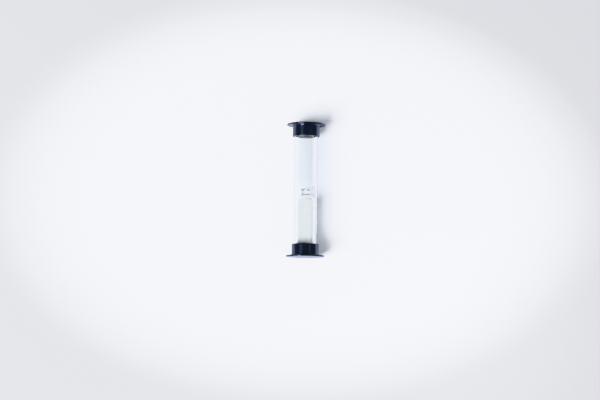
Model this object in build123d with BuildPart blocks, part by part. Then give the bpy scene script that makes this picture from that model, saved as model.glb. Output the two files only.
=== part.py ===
from build123d import *

import os
from math import acos, asin, degrees, radians, sqrt, tan

# Sand timer. A sealed glass double bulb holds the sand. A foam pad at each end cushions it, and it
# stands inside a clear tube that is pressed into two flanged end caps, alike and facing each other.
# Millimetres. The timer stands on +Z, with its origin at the centre of the base cap's outer face.

# Overall
overall_height = 90.0

# Glass double bulb
bulb_diameter = 13.4
glass_wall = 1.1
waist_diameter = 5.6
throat_diameter = 1.0
shoulder_radius = 6.0
waist_radius = 2.4
crown_radius = 9.0
knuckle_radius = 4.5
seal_tip_diameter = 2.4
seal_tip_height = 1.4
seal_tip_root_radius = 0.6

# Clear tube
tube_wall = 1.0
tube_edge_chamfer = 0.15

# End caps
flange_diameter = 26.0
flange_thickness = 1.2
flange_edge_radius = 0.4
collar_wall = 1.1
collar_height = 7.6
collar_root_radius = 0.5
collar_rim_radius = 0.3
socket_wall = 1.0
socket_lead_in = 0.25

# Foam pads, which rise round the ends of the bulb
base_pad_thickness = 1.0
pad_rise = 1.2

# Sand: the slope of its top, nearly levelled by handling, and how far its tip lies below the waist
heap_angle = 5.0
heap_depth = 4.7

# Clearances
bulb_play = 0.3
tube_fit = 0.05
socket_play = 0.25
pad_play = 0.1
pad_gap = 0.05
sand_gap = 0.05
seal_tip_play = 0.3
seal_tip_room = 2.2

# Diameters: tube and collar are fitted round the bulb, and socket and pad inside the tube's bore
bulb_radius = bulb_diameter / 2
tube_bore = bulb_diameter + 2 * bulb_play
tube_diameter = tube_bore + 2 * tube_wall
collar_bore = tube_diameter + 2 * tube_fit
collar_diameter = collar_bore + 2 * collar_wall
socket_diameter = tube_bore - 2 * tube_fit
socket_bore = socket_diameter - 2 * socket_wall
pad_diameter = socket_bore - 2 * pad_play

# Levels above the base
base_floor = flange_thickness
top_floor = overall_height - flange_thickness
top_pad_thickness = seal_tip_height + seal_tip_room
bulb_bottom = base_floor + base_pad_thickness
bulb_top = top_floor - top_pad_thickness
waist_level = (bulb_bottom + bulb_top) / 2
heap_tip = waist_level - heap_depth
seal_tip_centre = bulb_top + seal_tip_height - seal_tip_diameter / 2

# The bulb's round end is a crown between two knuckles. The socket rises round it as far as the
# knuckle leaves room.
knuckle_offset = bulb_radius - knuckle_radius
knuckle_level = crown_radius - sqrt((crown_radius - knuckle_radius) ** 2 - knuckle_offset**2)
socket_reach = socket_bore / 2 - socket_play - knuckle_offset
socket_height = base_pad_thickness + knuckle_level - sqrt(knuckle_radius**2 - socket_reach**2)

# The outer glass turns from shoulder to waist on two tangent arcs. In the half section a shoulder's
# centre lies shoulder_offset past the axis, or short of it where that is negative, and
# shoulder_length away from the waist.
shoulder_offset = shoulder_radius - bulb_radius
shoulder_length = sqrt(
    (shoulder_radius + waist_radius) ** 2
    - (shoulder_offset + waist_diameter / 2 + waist_radius) ** 2
)


def bulb_outline(inset, neck_diameter):
    """Draw the double bulb's closed half outline, inset from the outer glass, in the open BuildLine.

    The ends, walls and shoulders keep the centres of the outer glass. The waist is the arc that is
    tangent to both shoulders and leaves the given neck.
    """
    radius = bulb_radius - inset
    crown = crown_radius - inset
    knuckle = knuckle_radius - inset
    shoulder = shoulder_radius - inset
    neck_reach = shoulder_offset + neck_diameter / 2
    waist = (neck_reach**2 + shoulder_length**2 - shoulder**2) / (2 * (shoulder - neck_reach))
    crown_turn = degrees(asin((radius - knuckle) / (crown - knuckle)))
    shoulder_turn = degrees(acos((neck_reach + waist) / (shoulder + waist)))

    lower_crown = JernArc((0, bulb_bottom + inset), (1, 0), crown, crown_turn)
    lower_knuckle = JernArc(lower_crown @ 1, lower_crown % 1, knuckle, 90 - crown_turn)
    lower_wall = Line(lower_knuckle @ 1, (radius, waist_level - shoulder_length))
    lower_shoulder = JernArc(lower_wall @ 1, lower_wall % 1, shoulder, shoulder_turn)
    neck = JernArc(lower_shoulder @ 1, lower_shoulder % 1, waist, -2 * shoulder_turn)
    upper_shoulder = JernArc(neck @ 1, neck % 1, shoulder, shoulder_turn)
    upper_wall_end = (radius, 2 * waist_level - (lower_wall @ 0).Y)
    upper_wall = Line(upper_shoulder @ 1, upper_wall_end)
    upper_knuckle = JernArc(upper_wall @ 1, upper_wall % 1, knuckle, 90 - crown_turn)
    upper_crown = JernArc(upper_knuckle @ 1, upper_knuckle % 1, crown, crown_turn)
    Line(upper_crown @ 1, lower_crown @ 0)


# Base cap: a flanged foot. The tube's end stands in the groove between its collar and its socket,
# and the socket cradles the bulb's round end.
with BuildPart() as base_cap:
    with BuildSketch():
        Circle(flange_diameter / 2)
    extrude(amount=flange_thickness)
    fillet(base_cap.edges().filter_by(GeomType.CIRCLE), flange_edge_radius)
    with BuildSketch(Plane.XY.offset(base_floor)):
        Circle(collar_diameter / 2)
        Circle(collar_bore / 2, mode=Mode.SUBTRACT)
    extrude(amount=collar_height)
    with BuildSketch(Plane.XY.offset(base_floor)):
        Circle(socket_diameter / 2)
        Circle(socket_bore / 2, mode=Mode.SUBTRACT)
    extrude(amount=socket_height)
    rings = base_cap.faces().filter_by(GeomType.PLANE).sort_by(Axis.Z)
    fillet(rings[-1].edges(), collar_rim_radius)
    chamfer(rings[-2].edges(), socket_lead_in)
    floor_circles = base_cap.edges().filter_by(GeomType.CIRCLE).filter_by_position(
        Axis.Z, base_floor, base_floor
    )
    collar_root = floor_circles.sort_by(SortBy.RADIUS)[-2]
    fillet(collar_root, collar_root_radius)

# Top cap: the same moulding, facing down
with BuildPart() as top_cap:
    mirror(base_cap.part, about=Plane.XY.offset(overall_height / 2))

# Clear tube, standing on both caps' floors
with BuildPart() as clear_tube:
    with BuildSketch(Plane.XY.offset(base_floor)):
        Circle(tube_diameter / 2)
        Circle(tube_bore / 2, mode=Mode.SUBTRACT)
    extrude(amount=top_floor - base_floor)
    chamfer(clear_tube.faces().filter_by(Axis.Z).edges(), tube_edge_chamfer)

# Glass double bulb: one blown piece with a narrow throat, melted shut at the tip on its upper end
with BuildPart() as glass_ampoule:
    with BuildSketch(Plane.XZ) as glass_section:
        with BuildLine():
            bulb_outline(0, waist_diameter)
        make_face()
        with Locations((0, seal_tip_centre)):
            Circle(seal_tip_diameter / 2)
        split(bisect_by=Plane.YZ)
        seal_tip_root = glass_section.vertices().sort_by(Axis.Y)[-2]
        fillet(seal_tip_root, seal_tip_root_radius)
    revolve(axis=Axis.Z)
    with BuildSketch(Plane.XZ):
        with BuildLine():
            bulb_outline(glass_wall, throat_diameter)
        make_face()
    revolve(axis=Axis.Z, mode=Mode.SUBTRACT)

# Sand: it takes the lower bulb's inner form up to the low cone of its top
with BuildPart() as sand_fill:
    with BuildSketch(Plane.XZ):
        with BuildLine():
            bulb_outline(glass_wall + sand_gap, throat_diameter - 2 * sand_gap)
        make_face()
    revolve(axis=Axis.Z)
    heap_foot = heap_tip - bulb_radius * tan(radians(heap_angle))
    with BuildSketch(Plane.XZ):
        with BuildLine():
            Polyline(
                (0, heap_tip),
                (0, bulb_bottom),
                (bulb_radius, bulb_bottom),
                (bulb_radius, heap_foot),
                close=True,
            )
        make_face()
    revolve(axis=Axis.Z, mode=Mode.INTERSECT)

# Base pad, dished by the lower bulb
with BuildPart() as base_pad:
    with BuildSketch(Plane.XY.offset(base_floor)):
        Circle(pad_diameter / 2)
    extrude(amount=base_pad_thickness + pad_rise)
    with BuildSketch(Plane.XZ):
        with BuildLine():
            bulb_outline(-pad_gap, waist_diameter + 2 * pad_gap)
        make_face()
    revolve(axis=Axis.Z, mode=Mode.SUBTRACT)

# Top pad, dished by the upper bulb, with a hole for the seal tip
with BuildPart() as top_pad:
    with BuildSketch(Plane.XY.offset(top_floor)):
        Circle(pad_diameter / 2)
        Circle(seal_tip_diameter / 2 + seal_tip_play, mode=Mode.SUBTRACT)
    extrude(amount=-(top_pad_thickness + pad_rise))
    with BuildSketch(Plane.XZ):
        with BuildLine():
            bulb_outline(-pad_gap, waist_diameter + 2 * pad_gap)
        make_face()
    revolve(axis=Axis.Z, mode=Mode.SUBTRACT)

base_cap.part.label = "base_cap"
top_cap.part.label = "top_cap"
clear_tube.part.label = "clear_tube"
glass_ampoule.part.label = "glass_ampoule"
sand_fill.part.label = "sand_fill"
base_pad.part.label = "base_pad"
top_pad.part.label = "top_pad"

os.makedirs("parts", exist_ok=True)
export_step(base_cap.part, "parts/base_cap.step")
export_step(top_cap.part, "parts/top_cap.step")
export_step(clear_tube.part, "parts/clear_tube.step")
export_step(glass_ampoule.part, "parts/glass_ampoule.step")
export_step(sand_fill.part, "parts/sand_fill.step")
export_step(base_pad.part, "parts/base_pad.step")
export_step(top_pad.part, "parts/top_pad.step")
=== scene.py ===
"""Dress a small sand timer: its end caps, clear tube, glass double bulb, sand and foam pads."""

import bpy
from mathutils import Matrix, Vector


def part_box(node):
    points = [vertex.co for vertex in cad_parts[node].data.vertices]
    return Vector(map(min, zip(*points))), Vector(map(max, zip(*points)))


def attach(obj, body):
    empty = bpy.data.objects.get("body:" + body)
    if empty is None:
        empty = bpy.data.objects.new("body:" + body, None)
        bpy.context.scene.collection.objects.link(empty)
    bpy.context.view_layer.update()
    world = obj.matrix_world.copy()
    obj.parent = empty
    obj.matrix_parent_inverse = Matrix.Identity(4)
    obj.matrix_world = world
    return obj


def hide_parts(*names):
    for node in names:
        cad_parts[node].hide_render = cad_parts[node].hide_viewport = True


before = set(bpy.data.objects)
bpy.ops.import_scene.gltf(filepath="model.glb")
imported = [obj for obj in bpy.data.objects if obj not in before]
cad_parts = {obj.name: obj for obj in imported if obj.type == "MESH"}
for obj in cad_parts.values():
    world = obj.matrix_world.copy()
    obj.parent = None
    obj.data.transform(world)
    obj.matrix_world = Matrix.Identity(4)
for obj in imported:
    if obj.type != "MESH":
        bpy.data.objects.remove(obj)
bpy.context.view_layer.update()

import math

import bmesh
import bpy
from bpy.props import FloatProperty, FloatVectorProperty, IntProperty, PointerProperty
from mathutils import Matrix, Vector, noise

bl_info = {
    "name": "Sand Timer",
    "version": (1, 0, 0),
    "blender": (4, 5, 0),
    "location": "3D View > Sidebar > Sand Timer",
    "description": "Finishes for a capped sand timer, and the table it is seen on",
    "category": "Object",
}

# Lengths are in metres.
MM = 0.001
CAPS = ("base_cap", "top_cap")
CAP_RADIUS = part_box("base_cap")[1][0]
COLLAR_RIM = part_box("base_cap")[1][2]
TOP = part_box("top_cap")[1][2]

# Points of a CAD mesh that lie closer together than this are one point.
WELD_DISTANCE = 1e-6
# A sand mesh with fewer faces than this has lost its grains.
LEAST_SAND_FACES = 20000
# The foam is meshed in cubes of this size. Its skin is drawn in a little, and its cells go deeper.
FOAM_VOXEL = 0.16 * MM
FOAM_INSET = 0.02 * MM
CELL_DEPTH = 0.16 * MM
LEAST_CELL = 1e-6

# The table stands upright behind the timer and touches the caps. The floor lies just under the base.
TABLE_HALF_WIDTH = 0.8
TABLE_LOW = -0.5
TABLE_HIGH = 0.7
FLOOR_HALF_WIDTH = 2.0
FLOOR_LEVEL = -0.2 * MM
# From the timer's middle towards the key lamp
KEY_DIRECTION = Vector((-0.73, -1.0, -0.52)).normalized()
# Light turns many times in the thick neck, and crosses up to eight clear surfaces on its way.
GLASS_BOUNCES = 32


class CapFinish(bpy.types.PropertyGroup):
    """Black moulded plastic of the two end caps."""

    colour: FloatVectorProperty(
        name="Plastic", description="Colour of the moulded plastic", subtype="COLOR", size=4,
        min=0.0, max=1.0, default=(0.0020, 0.0024, 0.0036, 1.0))
    gloss: FloatProperty(
        name="Roughness", description="Roughness of the clean moulded skin", subtype="FACTOR",
        min=0.0, max=1.0, default=0.12)
    wear: FloatProperty(
        name="Edge wear", description="How far the rims are rubbed pale", subtype="FACTOR",
        min=0.0, max=1.0, default=0.35)


class TubeFinish(bpy.types.PropertyGroup):
    """Clear plastic of the outer tube."""

    tint: FloatVectorProperty(
        name="Tint", description="Colour that the clear plastic gives to light", subtype="COLOR", size=4,
        min=0.0, max=1.0, default=(0.972, 0.978, 0.982, 1.0))
    scratches: FloatProperty(
        name="Scratches", description="Roughness that handling has left", subtype="FACTOR",
        min=0.0, max=1.0, default=0.12)


class GlassFinish(bpy.types.PropertyGroup):
    """Blown glass of the double bulb."""

    tint: FloatVectorProperty(
        name="Tint", description="Colour that the glass gives to light", subtype="COLOR", size=4,
        min=0.0, max=1.0, default=(0.974, 0.980, 0.982, 1.0))
    waviness: FloatProperty(
        name="Waviness", description="Unevenness of the blown surface", subtype="FACTOR",
        min=0.0, max=1.0, default=0.12)


class SandFinish(bpy.types.PropertyGroup):
    """Pale sand in the lower bulb."""

    pale: FloatVectorProperty(
        name="Pale grains", description="Colour of the palest grains", subtype="COLOR", size=4,
        min=0.0, max=1.0, default=(0.775, 0.79, 0.762, 1.0))
    dark: FloatVectorProperty(
        name="Dark grains", description="Colour of the darkest grains", subtype="COLOR", size=4,
        min=0.0, max=1.0, default=(0.557, 0.574, 0.547, 1.0))
    grain_size: FloatProperty(
        name="Grain size", description="Diameter of the largest grains", unit="LENGTH",
        min=0.1 * MM, max=1.0 * MM, default=0.26 * MM, precision=5)
    spacing: FloatProperty(
        name="Spacing", description="Least distance between grains, in grain sizes", subtype="FACTOR",
        min=0.5, max=2.0, default=0.95)
    seed: IntProperty(name="Seed", description="Seed of the grains' places and forms", default=7)


class PadFinish(bpy.types.PropertyGroup):
    """Foam pads at the ends of the glass."""

    colour: FloatVectorProperty(
        name="Foam", description="Colour of the foam", subtype="COLOR", size=4,
        min=0.0, max=1.0, default=(0.060, 0.065, 0.080, 1.0))
    cell: FloatProperty(
        name="Cell size", description="Width of the foam's open cells", unit="LENGTH",
        min=0.2 * MM, max=2.0 * MM, default=0.7 * MM, precision=5)


class StageSettings(bpy.types.PropertyGroup):
    """White table, lamps and camera."""

    table: FloatVectorProperty(
        name="Table", description="Colour of the white table", subtype="COLOR", size=4,
        min=0.0, max=1.0, default=(0.960, 0.963, 0.988, 1.0))
    lens: FloatProperty(
        name="Lens", description="Focal length of the camera, in millimetres", subtype="DISTANCE_CAMERA",
        min=10.0, max=300.0, default=100.0)
    distance: FloatProperty(
        name="Distance", description="From the camera to the point it aims at", unit="LENGTH",
        min=0.1, max=5.0, default=1.1217)
    elevation: FloatProperty(
        name="Elevation", description="Angle by which the camera stands above the point it aims at",
        unit="ROTATION", default=math.radians(-5.52))
    roll: FloatProperty(
        name="Roll", description="Turn of the camera about its line of sight", unit="ROTATION",
        default=math.radians(0.585))
    aim: FloatVectorProperty(
        name="Aim", description="Point that the camera aims at", subtype="TRANSLATION", unit="LENGTH",
        size=3, default=(-3.73 * MM, 0.0, 38.41 * MM))
    key_power: FloatProperty(
        name="Key lamp", description="Power of the large softbox", unit="POWER", min=0.0, default=494.0)
    strip_power: FloatProperty(
        name="Strip lamp", description="Power of the narrow lamp", unit="POWER", min=0.0, default=1.4)
    fill_power: FloatProperty(
        name="Fill lamp", description="Power of the lamp that evens the light on the sand", unit="POWER",
        min=0.0, default=145.0)
    lift_power: FloatProperty(
        name="Shadow lamp", description="Power of the small lamp that lifts the shadow beside the foot",
        unit="POWER", min=0.0, default=0.055)
    top_power: FloatProperty(
        name="Overhead lamp", description="Power of the lamp above the floor", unit="POWER",
        min=0.0, default=70.0)


def add_node(tree, kind, inputs=None, **settings):
    """Add a node to a tree. Each input is either a socket to link or a value to set."""
    made = tree.nodes.new(kind)
    for name, value in settings.items():
        setattr(made, name, value)
    for name, value in (inputs or {}).items():
        if isinstance(value, bpy.types.NodeSocket):
            tree.links.new(value, made.inputs[name])
        else:
            made.inputs[name].default_value = value
    return made


def math_value(tree, operation, first, second=0.0, clamp=False):
    """Combine two numbers."""
    inputs = {0: first, 1: second}
    return add_node(tree, "ShaderNodeMath", inputs, operation=operation, use_clamp=clamp).outputs[0]


def vector_value(tree, operation, first, second=(0.0, 0.0, 0.0)):
    """Get a number from a vector, or from two."""
    inputs = {0: first, 1: second}
    return add_node(tree, "ShaderNodeVectorMath", inputs, operation=operation).outputs["Value"]


def remap(tree, value, low, high, to_low=0.0, to_high=1.0):
    """Carry a range of values smoothly over to another range."""
    inputs = {"Value": value, "From Min": low, "From Max": high, "To Min": to_low, "To Max": to_high}
    made = add_node(tree, "ShaderNodeMapRange", inputs, interpolation_type="SMOOTHSTEP")
    return made.outputs["Result"]


def mix_colours(tree, factor, first, second, blend="MIX"):
    """Go from the first colour to the second, or to the blend of both."""
    # The mix node has sockets for numbers, vectors and colours. These are the ones for colours.
    inputs = {0: factor, 6: first, 7: second}
    return add_node(tree, "ShaderNodeMix", inputs, data_type="RGBA", blend_type=blend).outputs[2]


def scaled_colour(colour, factor):
    """Multiply a colour's three channels and keep it opaque."""
    return tuple(factor * value for value in colour[:3]) + (1.0,)


def object_coordinates(tree, scale=(1.0, 1.0, 1.0)):
    """Read the piece's own coordinates in metres, stretched by a scale."""
    coordinates = add_node(tree, "ShaderNodeTexCoord").outputs["Object"]
    return add_node(tree, "ShaderNodeMapping", {"Vector": coordinates, "Scale": scale}).outputs[0]


def noise_value(tree, vector, feature_size, detail=2.0, roughness=0.5):
    """Read a noise whose blobs have about the given size in metres."""
    inputs = {"Vector": vector, "Scale": 1.0 / feature_size, "Detail": detail, "Roughness": roughness}
    return add_node(tree, "ShaderNodeTexNoise", inputs).outputs[0]


def cell_pattern(tree, vector, cell_size):
    """Lay out cells of about the given size in metres, and return the pattern's outputs."""
    inputs = {"Vector": vector, "Scale": 1.0 / cell_size}
    return add_node(tree, "ShaderNodeTexVoronoi", inputs).outputs


def bump_normal(tree, height, strength, depth):
    """Turn a height into a shading normal."""
    inputs = {"Height": height, "Strength": strength, "Distance": depth}
    return add_node(tree, "ShaderNodeBump", inputs).outputs[0]


def new_material(name):
    """Make an empty node material and return it with its tree and its output node."""
    material = bpy.data.materials.new(name)
    material.use_nodes = True
    material.node_tree.nodes.clear()
    end = material.node_tree.nodes.new("ShaderNodeOutputMaterial")
    return material, material.node_tree, end


def finish_surface(tree, end, shader):
    """Connect a shader to the material's surface."""
    tree.links.new(shader, end.inputs["Surface"])


def set_material(mesh, material):
    """Give a mesh one material."""
    mesh.materials.clear()
    mesh.materials.append(material)


def dress_node(name, material):
    """Give a CAD node's object one material."""
    set_material(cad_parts[name].data, material)


def gloss_black_plastic(finish):
    """Injection-moulded gloss plastic: flow streaks, fine scratches, rubbed rims and a little dust."""
    material, tree, end = new_material("gloss_black_plastic")
    place = object_coordinates(tree)
    parts = add_node(tree, "ShaderNodeSeparateXYZ", {0: place}).outputs
    across = add_node(tree, "ShaderNodeCombineXYZ", {0: parts[0], 1: parts[1]}).outputs[0]
    radius = vector_value(tree, "LENGTH", across)

    along = object_coordinates(tree, (1.0, 1.0, 0.35))
    around = object_coordinates(tree, (1.0, 1.0, 14.0))
    streaks = noise_value(tree, along, 3.0 * MM, detail=3.0)
    peel = noise_value(tree, place, 0.9 * MM, detail=1.0)
    hairlines = noise_value(tree, around, 1.6 * MM, detail=4.0, roughness=0.7)
    rubs = noise_value(tree, place, 0.5 * MM, detail=4.0, roughness=0.65)
    rim = remap(tree, radius, CAP_RADIUS - 0.5 * MM, CAP_RADIUS - 0.08 * MM)
    rim_wear = math_value(tree, "MULTIPLY", rim, remap(tree, rubs, 0.46, 0.62, to_high=finish.wear))
    specks = cell_pattern(tree, place, 1.3 * MM)
    dust = remap(tree, specks["Distance"], 0.035, 0.075, to_low=1.0, to_high=0.0)
    chance = add_node(tree, "ShaderNodeSeparateColor", {0: specks["Color"]}).outputs[0]
    dust = math_value(tree, "MULTIPLY", dust, remap(tree, chance, 0.72, 0.78))

    deep = scaled_colour(finish.colour, 0.75)
    pale = scaled_colour(finish.colour, 1.5)
    rubbed = (0.035, 0.037, 0.045, 1.0)
    dusty = (0.20, 0.20, 0.21, 1.0)
    colour = mix_colours(tree, streaks, deep, pale)
    colour = mix_colours(tree, rim_wear, colour, rubbed)
    colour = mix_colours(tree, math_value(tree, "MULTIPLY", dust, 0.5), colour, dusty)
    roughness = remap(tree, hairlines, 0.35, 0.75, to_low=finish.gloss * 0.8, to_high=finish.gloss * 1.5)
    roughness = math_value(tree, "ADD", roughness, math_value(tree, "MULTIPLY", rim_wear, 0.35))
    roughness = math_value(tree, "ADD", roughness, math_value(tree, "MULTIPLY", dust, 0.4), clamp=True)
    plastic = add_node(tree, "ShaderNodeBsdfPrincipled", {
        "Base Color": colour, "Roughness": roughness, "IOR": 1.53,
        "Coat Weight": 0.75, "Coat Roughness": 0.08, "Coat IOR": 1.6,
        "Normal": bump_normal(tree, peel, strength=0.05, depth=0.02 * MM),
    })
    finish_surface(tree, end, plastic.outputs[0])
    return material


def clear_shader(tree, end, inputs, face_shade, edge_shade):
    """Finish a clear material.

    It refracts whatever is seen in it. Light on its way to matt surfaces goes straight through, dimmed by
    the face shade where it meets the surface squarely and by the edge shade where it grazes it.
    """
    solid = add_node(tree, "ShaderNodeBsdfPrincipled", inputs)
    facing = add_node(tree, "ShaderNodeLayerWeight", {"Blend": 0.5}).outputs["Facing"]
    shade = mix_colours(tree, remap(tree, facing, 0.45, 1.0), face_shade, edge_shade)
    through = add_node(tree, "ShaderNodeBsdfTransparent", {"Color": shade})
    path = add_node(tree, "ShaderNodeLightPath").outputs
    lighting = math_value(tree, "MAXIMUM", path["Is Shadow Ray"], path["Is Diffuse Ray"])
    mixed = add_node(tree, "ShaderNodeMixShader", {0: lighting, 1: solid.outputs[0], 2: through.outputs[0]})
    finish_surface(tree, end, mixed.outputs[0])


def clear_acrylic(finish):
    """Extruded clear plastic: faint lines along the tube and hairline scratches."""
    material, tree, end = new_material("clear_acrylic")
    along = object_coordinates(tree, (1.0, 1.0, 0.02))
    around = object_coordinates(tree, (1.0, 1.0, 9.0))
    lines = noise_value(tree, along, 1.1 * MM, detail=2.0)
    hairlines = noise_value(tree, around, 2.2 * MM, detail=5.0, roughness=0.75)
    surface = {
        "Base Color": tuple(finish.tint), "Transmission Weight": 1.0, "IOR": 1.49,
        "Roughness": remap(tree, hairlines, 0.60, 0.72, to_high=finish.scratches),
        "Normal": bump_normal(tree, lines, strength=0.02, depth=0.02 * MM),
    }
    clear_shader(tree, end, surface,
                 face_shade=(0.92, 0.925, 0.937, 1.0), edge_shade=(0.78, 0.79, 0.81, 1.0))
    return material


def blown_glass(finish):
    """Flame-worked glass: a slow unevenness of the wall, a faint film, and no grain."""
    material, tree, end = new_material("blown_glass")
    waves = noise_value(tree, object_coordinates(tree, (1.0, 1.0, 0.5)), 5.0 * MM, detail=1.0)
    film = noise_value(tree, object_coordinates(tree), 2.5 * MM, detail=4.0)
    surface = {
        "Base Color": tuple(finish.tint), "Transmission Weight": 1.0, "IOR": 1.52,
        "Coat Weight": 0.5, "Coat Roughness": 0.10, "Coat IOR": 1.5,
        "Roughness": remap(tree, film, 0.55, 0.8, to_high=0.04),
        "Normal": bump_normal(tree, waves, strength=finish.waviness, depth=0.3 * MM),
    }
    clear_shader(tree, end, surface,
                 face_shade=(0.98, 0.983, 0.987, 1.0), edge_shade=(0.90, 0.91, 0.93, 1.0))
    return material


def pale_sand(finish):
    """Dry pale sand: each grain has its own tone and fine specks, and painted shade darkens the foot of the
    sand above the base cap's collar.
    """
    material, tree, end = new_material("pale_sand")
    place = object_coordinates(tree)
    tone = add_node(tree, "ShaderNodeAttribute", attribute_name="grain_tone").outputs["Fac"]
    specks = noise_value(tree, place, 0.12 * MM, detail=2.0, roughness=0.6)
    drifts = noise_value(tree, place, 4.0 * MM, detail=3.0)
    shade = math_value(tree, "MULTIPLY", tone, 0.5)
    shade = math_value(tree, "ADD", shade, math_value(tree, "MULTIPLY", specks, 0.35))
    shade = math_value(tree, "ADD", shade, math_value(tree, "MULTIPLY", drifts, 0.3), clamp=True)
    colour = mix_colours(tree, shade, tuple(finish.dark), tuple(finish.pale))
    height = add_node(tree, "ShaderNodeSeparateXYZ", {0: place}).outputs[2]
    # Painted shade: the sand is darkened over the 6 mm above the base cap's collar rim, where the collar
    # shades it, and is darkest below the rim.
    painted_collar_shade = remap(tree, height, COLLAR_RIM, COLLAR_RIM + 6.0 * MM, to_low=0.50, to_high=0.0)
    colour = mix_colours(tree, painted_collar_shade, colour, scaled_colour(finish.dark, 0.3))
    grains = add_node(tree, "ShaderNodeBsdfPrincipled", {
        "Base Color": colour, "IOR": 1.5, "Diffuse Roughness": 1.0,
        "Roughness": remap(tree, tone, 0.0, 1.0, to_low=0.45, to_high=0.85),
        "Normal": bump_normal(tree, specks, strength=0.4, depth=0.03 * MM),
    })
    finish_surface(tree, end, grains.outputs[0])
    return material


def open_foam(finish):
    """Soft foam: dull walls with a pale fuzz, and darker open cells with painted shade in their hollows."""
    material, tree, end = new_material("open_foam")
    place = object_coordinates(tree)
    cells = cell_pattern(tree, place, finish.cell)["Distance"]
    fuzz = noise_value(tree, place, 0.15 * MM, detail=3.0, roughness=0.7)
    # Painted shade: the hollows of the open cells take this darker colour.
    painted_cell_shade = scaled_colour(finish.colour, 0.55)
    fuzzy = (0.12, 0.125, 0.14, 1.0)
    colour = mix_colours(tree, remap(tree, cells, 0.15, 0.6), painted_cell_shade, tuple(finish.colour))
    colour = mix_colours(tree, math_value(tree, "MULTIPLY", fuzz, 0.25), colour, fuzzy)
    foam = add_node(tree, "ShaderNodeBsdfPrincipled", {
        "Base Color": colour,
        "Roughness": remap(tree, fuzz, 0.0, 1.0, to_low=0.8, to_high=0.95),
        "Normal": bump_normal(tree, fuzz, strength=0.3, depth=0.05 * MM),
    })
    finish_surface(tree, end, foam.outputs[0])
    return material


def merged_copy(node):
    """Copy a CAD node's mesh and join its loose triangles."""
    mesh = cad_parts[node].data.copy()
    work = bmesh.new()
    work.from_mesh(mesh)
    bmesh.ops.remove_doubles(work, verts=work.verts, dist=WELD_DISTANCE)
    bmesh.ops.recalc_face_normals(work, faces=work.faces)
    work.to_mesh(mesh)
    work.free()
    return mesh


def link_piece(name, mesh):
    """Put a mesh in the scene as a piece."""
    piece = bpy.data.objects.new(name, mesh)
    bpy.context.scene.collection.objects.link(piece)
    return piece


def plain_mesh(piece):
    """Make a plain mesh of what an object's modifiers show, and take the modifiers off."""
    evaluated = piece.evaluated_get(bpy.context.evaluated_depsgraph_get())
    mesh = bpy.data.meshes.new_from_object(evaluated)
    piece.modifiers.clear()
    return mesh


def grain_tree():
    """Build the node tree that covers a heap of sand with angular grains."""
    tree = bpy.data.node_groups.new("sand_grains", "GeometryNodeTree")
    interface = tree.interface
    sockets = {}
    for name, kind in (("Heap", "NodeSocketGeometry"), ("Grain Size", "NodeSocketFloat"),
                       ("Spacing", "NodeSocketFloat"), ("Seed", "NodeSocketInt"),
                       ("Finish", "NodeSocketMaterial")):
        sockets[name] = interface.new_socket(name, in_out="INPUT", socket_type=kind).identifier
    interface.new_socket("Sand", in_out="OUTPUT", socket_type="NodeSocketGeometry")
    given = tree.nodes.new("NodeGroupInput").outputs

    # The heap is drawn in by half a grain, so that the grains on it end where the CAD heap ends.
    radius = math_value(tree, "MULTIPLY", given["Grain Size"], 0.5)
    inward = add_node(tree, "ShaderNodeVectorMath", {
        0: add_node(tree, "GeometryNodeInputNormal").outputs[0],
        "Scale": math_value(tree, "MULTIPLY", radius, -1.0),
    }, operation="SCALE").outputs[0]
    core = add_node(tree, "GeometryNodeSetPosition", {"Geometry": given["Heap"], "Offset": inward})

    # More points are offered than find room, so the least distance sets how densely the grains lie.
    offered = 3.0
    gap = math_value(tree, "MULTIPLY", given["Grain Size"], given["Spacing"])
    crowd = math_value(tree, "DIVIDE", offered, math_value(tree, "MULTIPLY", gap, gap))
    points = add_node(tree, "GeometryNodeDistributePointsOnFaces", {
        "Mesh": core.outputs[0], "Distance Min": gap, "Density Max": crowd, "Seed": given["Seed"],
    }, distribute_method="POISSON")

    grain = add_node(tree, "GeometryNodeMeshUVSphere", {"Segments": 5, "Rings": 2, "Radius": radius})
    turn = add_node(tree, "FunctionNodeRandomValue", {
        "Min": (0.0, 0.0, 0.0), "Max": (math.tau, math.tau, math.tau), "Seed": given["Seed"],
    }, data_type="FLOAT_VECTOR")
    girth = add_node(tree, "FunctionNodeRandomValue", {
        "Min": (0.62, 0.62, 0.62), "Max": (1.0, 1.0, 1.0),
        "Seed": math_value(tree, "ADD", given["Seed"], 1.0),
    }, data_type="FLOAT_VECTOR")
    tone = add_node(tree, "FunctionNodeRandomValue", {"Seed": math_value(tree, "ADD", given["Seed"], 2.0)})
    strewn = add_node(tree, "GeometryNodeInstanceOnPoints", {
        "Points": points.outputs[0], "Instance": grain.outputs[0],
        "Rotation": turn.outputs[0], "Scale": girth.outputs[0],
    })
    toned = add_node(tree, "GeometryNodeStoreNamedAttribute", {
        "Geometry": strewn.outputs[0], "Name": "grain_tone", "Value": tone.outputs[1],
    }, domain="INSTANCE")
    core_tone = add_node(tree, "GeometryNodeStoreNamedAttribute", {
        "Geometry": core.outputs[0], "Name": "grain_tone", "Value": 0.25,
    })
    whole = add_node(tree, "GeometryNodeJoinGeometry")
    tree.links.new(core_tone.outputs[0], whole.inputs[0])
    tree.links.new(toned.outputs[0], whole.inputs[0])
    solid = add_node(tree, "GeometryNodeRealizeInstances", {0: whole.outputs[0]})
    dressed = add_node(tree, "GeometryNodeSetMaterial", {
        "Geometry": solid.outputs[0], "Material": given["Finish"],
    })
    add_node(tree, "NodeGroupOutput", {0: dressed.outputs[0]})
    return tree, sockets


def build_caps(scene):
    """Finish the end caps."""
    material = gloss_black_plastic(scene.timer_caps)
    for cap in CAPS:
        dress_node(cap, material)


def build_tube(scene):
    """Finish the clear tube."""
    dress_node("clear_tube", clear_acrylic(scene.timer_tube))


def build_bulb(scene):
    """Finish the glass double bulb."""
    dress_node("glass_ampoule", blown_glass(scene.timer_glass))


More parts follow.
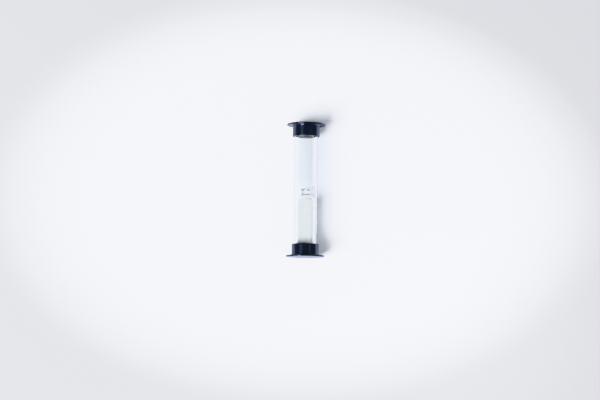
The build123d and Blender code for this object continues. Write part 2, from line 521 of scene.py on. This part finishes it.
def build_sand(scene):
    """Fill the lower bulb with grains."""
    finish = scene.timer_sand
    heap = link_piece("sand_heap", merged_copy("sand_fill"))
    heap.data.materials.clear()
    tree, sockets = grain_tree()
    modifier = heap.modifiers.new("grains", "NODES")
    modifier.node_group = tree
    modifier[sockets["Grain Size"]] = finish.grain_size
    modifier[sockets["Spacing"]] = finish.spacing
    modifier[sockets["Seed"]] = finish.seed
    modifier[sockets["Finish"]] = pale_sand(finish)
    heap.update_tag()
    mesh = plain_mesh(heap)
    bpy.data.objects.remove(heap)
    if len(mesh.polygons) < LEAST_SAND_FACES:
        raise RuntimeError("the sand has too few grains")
    mesh.shade_flat()
    sand = link_piece("sand_charge", mesh)
    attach(sand, "root")
    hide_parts("sand_fill")


def open_cells(mesh, cell):
    """Press open cells of the given width into a foam mesh."""
    normals = [vertex.normal.copy() for vertex in mesh.vertices]
    for vertex, normal in zip(mesh.vertices, normals):
        nearest, second = noise.voronoi(vertex.co / cell)[0][:2]
        hollow = max(0.0, 1.0 - nearest / max(second, LEAST_CELL))
        vertex.co -= normal * (FOAM_INSET + CELL_DEPTH * hollow)


def build_pads(scene):
    """Cut the foam pads with open cells in their faces."""
    finish = scene.timer_pads
    material = open_foam(finish)
    for node, name in (("base_pad", "base_cushion"), ("top_pad", "top_cushion")):
        pad = link_piece(name, merged_copy(node))
        remesh = pad.modifiers.new("even_faces", "REMESH")
        remesh.mode = "VOXEL"
        remesh.voxel_size = FOAM_VOXEL
        pad.data = plain_mesh(pad)
        open_cells(pad.data, finish.cell)
        set_material(pad.data, material)
        pad.data.shade_smooth()
        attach(pad, "root")
        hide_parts(node)


def matt_front(tree, end, colour):
    """Paint a surface matt on its front, and let its back be seen through."""
    paint = add_node(tree, "ShaderNodeBsdfDiffuse", {"Color": colour})
    clear = add_node(tree, "ShaderNodeBsdfTransparent")
    behind = add_node(tree, "ShaderNodeNewGeometry").outputs["Backfacing"]
    mixed = add_node(tree, "ShaderNodeMixShader", {0: behind, 1: paint.outputs[0], 2: clear.outputs[0]})
    finish_surface(tree, end, mixed.outputs[0])


def white_table(stage):
    """White table top: painted fall-off of the light makes it darker round an oval middle, and painted
    reflection makes it dimmer in reflections.
    """
    material, tree, end = new_material("white_table")
    centred = add_node(tree, "ShaderNodeTexCoord").outputs["Object"]
    oval = add_node(tree, "ShaderNodeMapping", {
        "Vector": centred, "Location": (-7.0 * MM, CAP_RADIUS, 42.3 * MM), "Scale": (0.205, 1.0, 0.137),
    }, vector_type="TEXTURE").outputs[0]
    reach = vector_value(tree, "LENGTH", oval)
    # Painted fall-off of the light: the colour darkens from the oval middle towards this edge colour, and
    # the faint mottle also leans towards it.
    edge = scaled_colour(stage.table, 0.49)
    colour = mix_colours(tree, remap(tree, reach, 0.66, 1.08), tuple(stage.table), edge)
    mottle = noise_value(tree, centred, 14.0 * MM, detail=3.0)
    colour = mix_colours(tree, math_value(tree, "MULTIPLY", mottle, 0.03), colour, edge)

    # Painted reflection: seen in mirror reflections, the table is dimmed and tinted blue, more near the
    # timer than further aside.
    near_dimming = (0.365, 0.39, 0.485, 1.0)
    far_dimming = (0.48, 0.55, 0.77, 1.0)
    path = add_node(tree, "ShaderNodeLightPath").outputs
    mirrored = math_value(tree, "SUBTRACT", path["Is Glossy Ray"], path["Transmission Depth"], clamp=True)
    aside = math_value(tree, "ABSOLUTE", add_node(tree, "ShaderNodeSeparateXYZ", {0: centred}).outputs[0])
    farness = remap(tree, aside, CAP_RADIUS, 2.0 * CAP_RADIUS)
    dimming = mix_colours(tree, farness, near_dimming, far_dimming)
    colour = mix_colours(tree, mirrored, colour, dimming, "MULTIPLY")
    matt_front(tree, end, colour)
    return material


def pale_floor():
    """Pale floor that the timer stands on, a little mottled."""
    material, tree, end = new_material("pale_floor")
    mottle = noise_value(tree, object_coordinates(tree), 20.0 * MM, detail=3.0)
    dull = (0.80, 0.81, 0.83, 1.0)
    bright = (0.84, 0.85, 0.87, 1.0)
    matt_front(tree, end, mix_colours(tree, mottle, dull, bright))
    return material


def rectangle(left, right, low, high):
    """List the corners of a rectangle, anticlockwise."""
    return (left, low), (right, low), (right, high), (left, high)


def sheet_mesh(name, corners, material):
    """Make a flat four-cornered stage surface. Its front is the side its corners go round anticlockwise."""
    mesh = bpy.data.meshes.new(name)
    mesh.from_pydata(corners, [], [(0, 1, 2, 3)])
    mesh.materials.append(material)
    surface = link_piece(name, mesh)
    surface.visible_shadow = False
    return surface


def softbox(name, toward, power, reach, size, colour):
    """Hang a flat lamp in a direction from the timer's middle, facing the timer."""
    lamp = bpy.data.lights.new(name, "AREA")
    lamp.shape = "RECTANGLE"
    lamp.size, lamp.size_y = size
    lamp.energy = power
    lamp.color = colour
    direction = Vector(toward).normalized()
    holder = bpy.data.objects.new(name, lamp)
    holder.location = Vector((0.0, 0.0, TOP / 2)) + direction * reach
    holder.rotation_euler = direction.to_track_quat("Z", "Y").to_euler()
    holder.visible_camera = False
    bpy.context.scene.collection.objects.link(holder)
    return holder


def light_only(lamp, name):
    """Keep a lamp for one object, and out of reflections."""
    lamp.visible_glossy = False
    lit = bpy.data.collections.new(lamp.name + "_receivers")
    lit.objects.link(bpy.data.objects[name])
    lamp.light_linking.receiver_collection = lit


def studio_room():
    """Make the room: pale where it is looked at, and a bluish light for matt surfaces.

    Reflections show it darker, with a bright pane and a wider glow where the key lamp stands. The glow
    isn't seen through the clear pieces.
    """
    world = bpy.data.worlds.new("studio_room")
    world.use_nodes = True
    world.cycles.sampling_method = "NONE"
    tree = world.node_tree
    tree.nodes.clear()
    path = add_node(tree, "ShaderNodeLightPath").outputs
    towards = add_node(tree, "ShaderNodeTexCoord").outputs["Generated"]
    across = KEY_DIRECTION.cross(Vector((0.0, 0.0, 1.0))).normalized()
    upward = across.cross(KEY_DIRECTION)
    nearness = vector_value(tree, "DOT_PRODUCT", towards, KEY_DIRECTION)
    offset = math_value(tree, "ABSOLUTE", vector_value(tree, "DOT_PRODUCT", towards, across))
    rise = vector_value(tree, "DOT_PRODUCT", towards, upward)

    column = remap(tree, offset, 0.12, 0.26, to_low=1.0, to_high=0.0)
    column = math_value(tree, "MULTIPLY", column, remap(tree, nearness, 0.5, 0.7))
    glow = remap(tree, rise, 0.50, 0.75, to_low=1.0, to_high=0.0)
    glow = math_value(tree, "MULTIPLY", column, glow)
    glow = math_value(tree, "SUBTRACT", glow, path["Transmission Depth"], clamp=True)
    pane = remap(tree, math_value(tree, "ABSOLUTE", rise), 0.20, 0.30, to_low=1.0, to_high=0.0)
    pane = math_value(tree, "MULTIPLY", column, pane)

    reflected = (0.33, 0.37, 0.48, 1.0)
    glowing = (0.66, 0.82, 1.26, 1.0)
    glaring = (16.0, 18.5, 24.5, 1.0)
    ambient = (0.392, 0.428, 0.480, 1.0)
    looked_at = (0.86, 0.87, 0.89, 1.0)
    colour = mix_colours(tree, glow, reflected, glowing)
    colour = mix_colours(tree, pane, colour, glaring)
    colour = mix_colours(tree, path["Is Diffuse Ray"], colour, ambient)
    colour = mix_colours(tree, path["Is Camera Ray"], colour, looked_at)
    light = add_node(tree, "ShaderNodeBackground", {"Color": colour})
    add_node(tree, "ShaderNodeOutputWorld", {0: light.outputs[0]})
    bpy.context.scene.world = world


def place_camera(stage):
    """Set the camera where the photograph was taken from."""
    lens = bpy.data.cameras.new("camera")
    lens.lens = stage.lens
    lens.sensor_width = 36.0
    lens.dof.use_dof = False
    forward = Vector((0.0, math.cos(stage.elevation), -math.sin(stage.elevation)))
    level = Vector((1.0, 0.0, 0.0))
    upright = level.cross(forward)
    right = math.cos(stage.roll) * level + math.sin(stage.roll) * upright
    up = math.cos(stage.roll) * upright - math.sin(stage.roll) * level
    eye = Vector(stage.aim) - forward * stage.distance
    camera = bpy.data.objects.new("camera", lens)
    camera.matrix_world = Matrix.Translation(eye) @ Matrix((right, up, -forward)).transposed().to_4x4()
    bpy.context.scene.collection.objects.link(camera)
    bpy.context.scene.camera = camera


def hang_lamps(stage):
    """Hang the lamps. Two of them are kept for one object each, to fit its light to the photograph."""
    white = (1.0, 1.0, 1.0)
    key = softbox("key_softbox", KEY_DIRECTION, stage.key_power,
                  reach=5.0, size=(3.67, 2.77), colour=(1.0, 0.982, 0.970))
    key.visible_glossy = False
    softbox("strip_lamp", (0.656, -0.755, -0.125), stage.strip_power,
            reach=3.0, size=(0.53, 1.65), colour=(0.86, 0.95, 1.0))
    fill = softbox("fill_lamp", (0.95, -0.31, 0.0), stage.fill_power,
                   reach=3.0, size=(1.5, 1.5), colour=white)
    light_only(fill, "sand_charge")
    lift = softbox("shadow_lamp", (0.60, -0.55, -0.58), stage.lift_power,
                   reach=0.20, size=(0.10, 0.10), colour=(1.0, 0.96, 0.88))
    light_only(lift, "table_top")
    overhead = softbox("overhead_lamp", (0.1, 0.5, 0.85), stage.top_power,
                       reach=3.0, size=(1.4, 1.4), colour=white)
    overhead.visible_glossy = False


def build_stage(scene):
    """Set up the table behind the timer, the floor under it, the lamps, the room and the camera."""
    stage = scene.timer_stage
    outline = rectangle(-TABLE_HALF_WIDTH, TABLE_HALF_WIDTH, TABLE_LOW, TABLE_HIGH)
    sheet_mesh("table_top", [(x, CAP_RADIUS, z) for x, z in outline], white_table(stage))
    outline = rectangle(-FLOOR_HALF_WIDTH, FLOOR_HALF_WIDTH, -FLOOR_HALF_WIDTH, FLOOR_HALF_WIDTH)
    floor = sheet_mesh("floor", [(x, y, FLOOR_LEVEL) for x, y in outline], pale_floor())
    floor.visible_diffuse = False
    floor.visible_glossy = False
    hang_lamps(stage)
    studio_room()
    place_camera(stage)
    scene.view_settings.view_transform = "Khronos PBR Neutral"
    scene.cycles.max_bounces = GLASS_BOUNCES
    scene.cycles.transparent_max_bounces = GLASS_BOUNCES
    scene.cycles.glossy_bounces = GLASS_BOUNCES
    scene.cycles.transmission_bounces = GLASS_BOUNCES


class TIMER_OT_caps(bpy.types.Operator):
    """Finish the end caps"""
    bl_idname = "timer.caps"
    bl_label = "End caps"

    def execute(self, context):
        build_caps(context.scene)
        return {"FINISHED"}


class TIMER_OT_tube(bpy.types.Operator):
    """Finish the clear tube"""
    bl_idname = "timer.tube"
    bl_label = "Clear tube"

    def execute(self, context):
        build_tube(context.scene)
        return {"FINISHED"}


class TIMER_OT_bulb(bpy.types.Operator):
    """Finish the glass double bulb"""
    bl_idname = "timer.bulb"
    bl_label = "Glass double bulb"

    def execute(self, context):
        build_bulb(context.scene)
        return {"FINISHED"}


class TIMER_OT_sand(bpy.types.Operator):
    """Fill the lower bulb with grains"""
    bl_idname = "timer.sand"
    bl_label = "Sand"

    def execute(self, context):
        build_sand(context.scene)
        return {"FINISHED"}


class TIMER_OT_pads(bpy.types.Operator):
    """Cut the foam pads"""
    bl_idname = "timer.pads"
    bl_label = "Foam pads"

    def execute(self, context):
        build_pads(context.scene)
        return {"FINISHED"}


class TIMER_OT_stage(bpy.types.Operator):
    """Set up the table, lamps and camera"""
    bl_idname = "timer.stage"
    bl_label = "Table, lamps and camera"

    def execute(self, context):
        build_stage(context.scene)
        return {"FINISHED"}


class TIMER_PT_panel(bpy.types.Panel):
    """Sidebar panel with the timer's pieces and their finishes"""
    bl_idname = "TIMER_PT_panel"
    bl_label = "Sand Timer"
    bl_space_type = "VIEW_3D"
    bl_region_type = "UI"
    bl_category = "Sand Timer"

    def draw(self, context):
        for operator, settings in STEPS:
            box = self.layout.box()
            box.operator(operator.bl_idname)
            group = getattr(context.scene, settings)
            for name in group.bl_rna.properties.keys():
                if name not in {"rna_type", "name"}:
                    box.prop(group, name)


GROUPS = {
    "timer_caps": CapFinish,
    "timer_tube": TubeFinish,
    "timer_glass": GlassFinish,
    "timer_sand": SandFinish,
    "timer_pads": PadFinish,
    "timer_stage": StageSettings,
}
STEPS = (
    (TIMER_OT_caps, "timer_caps"),
    (TIMER_OT_tube, "timer_tube"),
    (TIMER_OT_bulb, "timer_glass"),
    (TIMER_OT_sand, "timer_sand"),
    (TIMER_OT_pads, "timer_pads"),
    (TIMER_OT_stage, "timer_stage"),
)
CLASSES = tuple(GROUPS.values()) + tuple(operator for operator, _ in STEPS) + (TIMER_PT_panel,)


def register():
    """Register the classes and hang the settings on the scene."""
    for made in CLASSES:
        bpy.utils.register_class(made)
    for name, group in GROUPS.items():
        setattr(bpy.types.Scene, name, PointerProperty(type=group))


def unregister():
    """Take the settings and the classes away again."""
    for name in GROUPS:
        delattr(bpy.types.Scene, name)
    for made in reversed(CLASSES):
        bpy.utils.unregister_class(made)


def main():
    """Build every piece and the stage in order."""
    register()
    for operator, _ in STEPS:
        category, name = operator.bl_idname.split(".")
        getattr(getattr(bpy.ops, category), name)()


if __name__ == "__main__":
    main()
